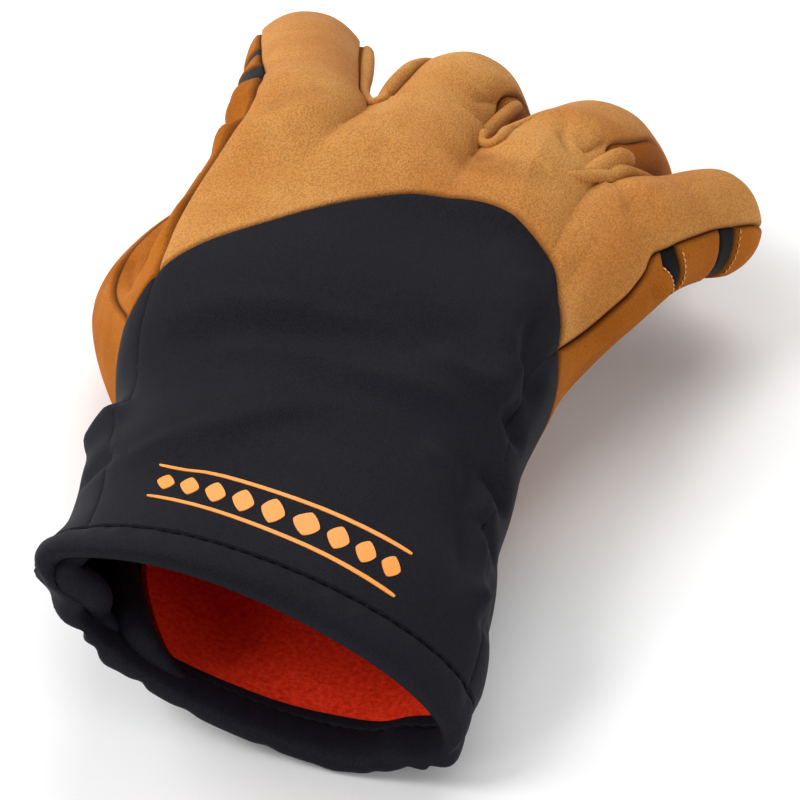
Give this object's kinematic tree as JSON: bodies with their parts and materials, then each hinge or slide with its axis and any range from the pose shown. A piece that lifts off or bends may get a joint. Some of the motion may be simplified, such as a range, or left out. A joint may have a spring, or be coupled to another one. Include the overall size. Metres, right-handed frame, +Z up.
{
  "type": "winter cycling glove",
  "caption": "Right-hand winter cycling glove lying palm down: nubuck hand and fingers, a long softshell cuff open at the wrist, fleece inside.",
  "frame": {"origin": "under the middle of the glove's box, on the surface that it lies on", "axes": "+Z up, +Y from the mouth of the cuff to the fingertips, the thumb on the -X side and the little finger on the +X side"},
  "size_m": [0.1448, 0.2366, 0.0637],
  "materials": {
    "nubuck": "soft tan nubuck with a fine pebbled grain",
    "suede": "matte tan leather, slightly darker than the back",
    "softshell": "smooth matte blue-black stretch softshell",
    "stretch": "matte black stretch fabric",
    "fleece": "brushed orange fleece"
  },
  "bodies": {
    "root": {"cuff_hem": "softshell", "cuff_back": "softshell", "cuff_palm": "softshell", "lining": "fleece", "back_leather": "nubuck", "palm_leather": "suede", "fourchette_index_middle": "suede", "fourchette_middle_ring": "suede", "fourchette_ring_little": "suede", "index_stretch_1": "stretch", "index_pad_middle": "suede", "index_stretch_2": "stretch", "index_pad_tip": "suede", "middle_stretch_1": "stretch", "middle_pad_middle": "suede", "middle_stretch_2": "stretch", "middle_pad_tip": "suede", "ring_stretch_1": "stretch", "ring_pad_middle": "suede", "ring_stretch_2": "stretch", "ring_pad_tip": "suede", "little_stretch_1": "stretch", "little_pad_middle": "suede", "little_stretch_2": "stretch", "little_pad_tip": "suede", "thumb_back": "suede", "thumb_front": "suede"}
  },
  "joints": []
}
